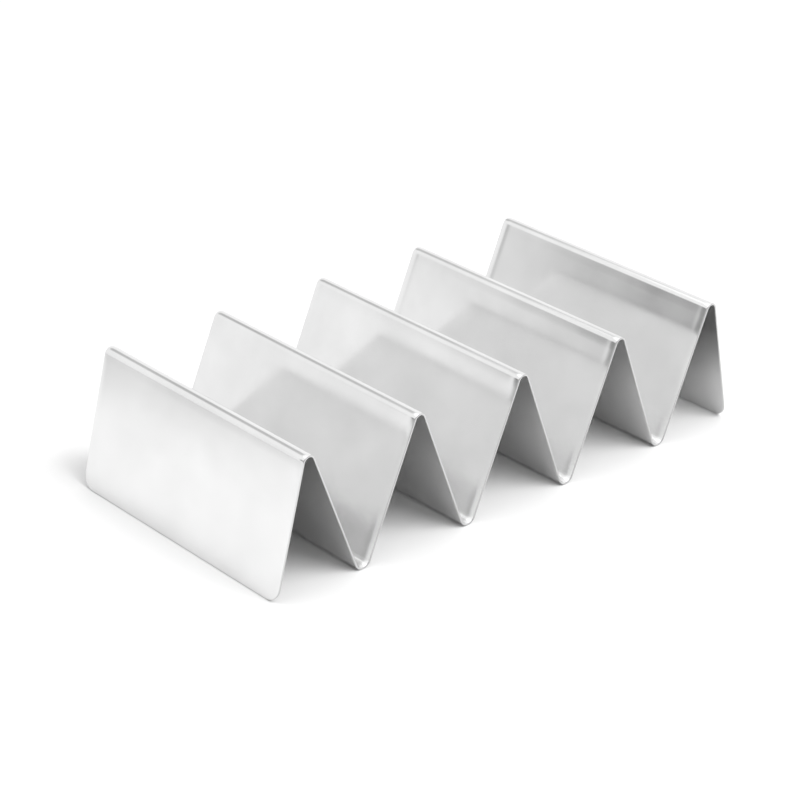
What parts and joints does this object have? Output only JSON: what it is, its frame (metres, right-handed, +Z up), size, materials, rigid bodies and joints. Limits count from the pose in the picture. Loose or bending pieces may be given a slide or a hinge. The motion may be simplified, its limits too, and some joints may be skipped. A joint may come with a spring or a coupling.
{
  "type": "taco holder",
  "caption": "Zigzag taco holder folded from satin stainless sheet: a row of open V channels between round top folds, standing on its lower folds and splayed end legs.",
  "frame": {"origin": "on the table, under the middle of the holder", "axes": "+X along the row of channels, +Y along the folds, +Z up"},
  "size_m": [0.2078, 0.102, 0.048],
  "materials": {
    "satin_stainless": "satin brushed stainless, cut edges broken"
  },
  "bodies": {
    "root": {"folded_sheet": "satin_stainless"}
  },
  "joints": []
}
